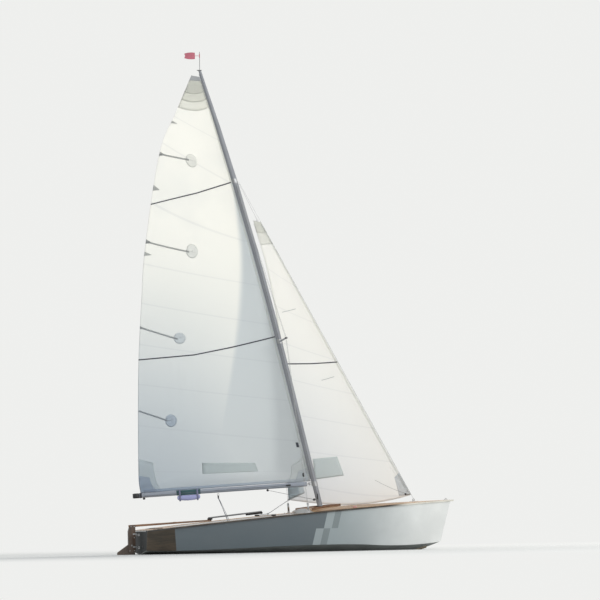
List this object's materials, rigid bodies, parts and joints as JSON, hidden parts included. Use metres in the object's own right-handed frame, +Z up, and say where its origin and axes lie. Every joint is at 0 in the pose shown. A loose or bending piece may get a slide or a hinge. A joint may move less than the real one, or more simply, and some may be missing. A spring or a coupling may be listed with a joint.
{
  "type": "sailing dinghy",
  "caption": "Hard-chine plywood sailing dinghy with raked mast, boom, mainsail and jib, hung rudder, tiller and lifting centreboard, afloat",
  "frame": {"origin": "on the centreline at the waterline, halfway along the hull", "axes": "+X to the bow, +Y to port, +Z up from the water"},
  "size_m": [4.9066, 1.5872, 8.123],
  "materials": {
    "side_paint": "gloss paint, blue-grey aft and white forward, over plywood",
    "bottom_paint": "dark grey paint over plywood",
    "varnished_wood": "dark brown varnish",
    "deck_wood": "clear varnish over plywood",
    "keel_metal": "dull",
    "mast_alloy": "satin anodised",
    "boom_alloy": "satin anodised, lilac grey",
    "steel": "bright",
    "tube_alloy": "satin",
    "dark_plastic": "matte",
    "pouch_fabric": "woven, lilac",
    "sailcloth": "thin woven cloth, slightly translucent",
    "vane_plastic": "matte red-pink"
  },
  "bodies": {
    "root": {"topside_port": "side_paint", "topside_starboard": "side_paint", "bottom_port": "bottom_paint", "bottom_starboard": "bottom_paint", "transom": "varnished_wood", "strake_port": "varnished_wood", "strake_starboard": "varnished_wood", "thwart": "varnished_wood", "thwart_post": "varnished_wood", "centreboard_case": "varnished_wood", "stem": "varnished_wood", "keelson": "varnished_wood", "mast_step": "varnished_wood", "foredeck": "deck_wood", "side_deck_port": "deck_wood", "side_deck_starboard": "deck_wood", "aft_deck": "deck_wood", "splash_rail": "deck_wood", "side_tank_port": "deck_wood", "side_tank_starboard": "deck_wood", "cockpit_sole": "deck_wood", "aft_bulkhead": "deck_wood", "mast_bulkhead": "deck_wood", "keel_band": "keel_metal", "mast": "mast_alloy", "spreader_port": "mast_alloy", "spreader_starboard": "mast_alloy", "gudgeons": "steel", "hounds_ring": "steel", "spreader_ring": "steel", "chainplate_port": "steel", "chainplate_starboard": "steel", "shroud_port": "steel", "shroud_starboard": "steel", "forestay": "steel", "tack_fitting": "steel", "fairlead_port": "steel", "fairlead_starboard": "steel", "mainsheet_block": "steel", "gooseneck": "steel", "masthead_cap": "dark_plastic", "jib": "sailcloth"},
    "boom_body": {"boom": "boom_alloy", "boom_fitting": "steel", "boom_cap": "dark_plastic", "boom_pouch": "pouch_fabric", "mainsail": "sailcloth"},
    "steering_body": {"rudder_stock": "varnished_wood", "pintles": "steel", "blade_pin": "steel", "tiller": "varnished_wood", "extension_swivel": "steel"},
    "blade_body": {"rudder_blade": "varnished_wood"},
    "extension_body": {"tiller_extension": "tube_alloy"},
    "board_body": {"centreboard": "varnished_wood"},
    "vane_body": {"wind_vane": "vane_plastic"}
  },
  "joints": [
    {"name": "boom_swing", "type": "hinge", "parent": "root", "child": "boom_body", "pos_m": [0.21, 0, 0.96], "axis": [-0.249, 0, 0.9685], "range_deg": [-35, 55]},
    {"name": "steering", "type": "hinge", "parent": "root", "child": "steering_body", "pos_m": [-2.312, 0, 0.18], "axis": [0, 0, 1], "range_deg": [-50, 50]},
    {"name": "blade_lift", "type": "hinge", "parent": "steering_body", "child": "blade_body", "pos_m": [-2.384, 0, 0.13], "axis": [0, 1, 0], "range_deg": [0, 100]},
    {"name": "extension_swing", "type": "hinge", "parent": "steering_body", "child": "extension_body", "pos_m": [-1.24861, 0, 0.48509], "axis": [0, 0, 1], "range_deg": [-285, 15]},
    {"name": "board_lift", "type": "hinge", "parent": "root", "child": "board_body", "pos_m": [-0.025, 0, -0.045], "axis": [0, 1, 0], "range_deg": [0, 86]},
    {"name": "vane_turn", "type": "hinge", "parent": "root", "child": "vane_body", "pos_m": [-1.28017, 0, 7.06], "axis": [0, 0, 1], "continuous": true}
  ]
}
